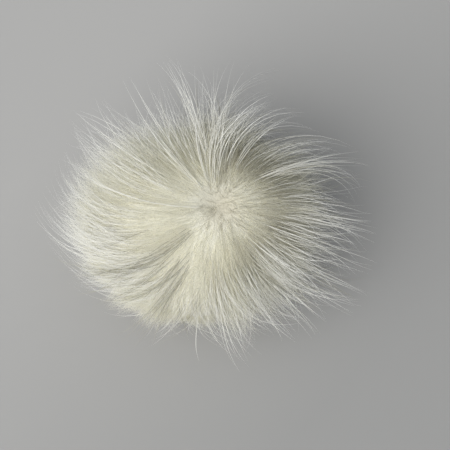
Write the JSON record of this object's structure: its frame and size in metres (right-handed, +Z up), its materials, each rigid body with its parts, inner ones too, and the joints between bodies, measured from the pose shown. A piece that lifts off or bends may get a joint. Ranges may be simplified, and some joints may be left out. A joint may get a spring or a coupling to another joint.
{
  "type": "fur pom pom",
  "caption": "Long-haired cream fur pom pom: a soft ball of dense underfur with long tapered locks radiating from a crown, lying on its flattened underside.",
  "frame": {"origin": "centre of the flat spot under the pom pom, on the surface it lies on", "axes": "+Z up from the surface; -Y towards the front, where the crown leans; X to the sides"},
  "size_m": [0.1381, 0.1228, 0.0855],
  "materials": {
    "fur": "cream white long-haired fur: soft matt underfur with glossy, paler guard hairs"
  },
  "bodies": {
    "root": {"fur_ball": "fur"}
  },
  "joints": []
}
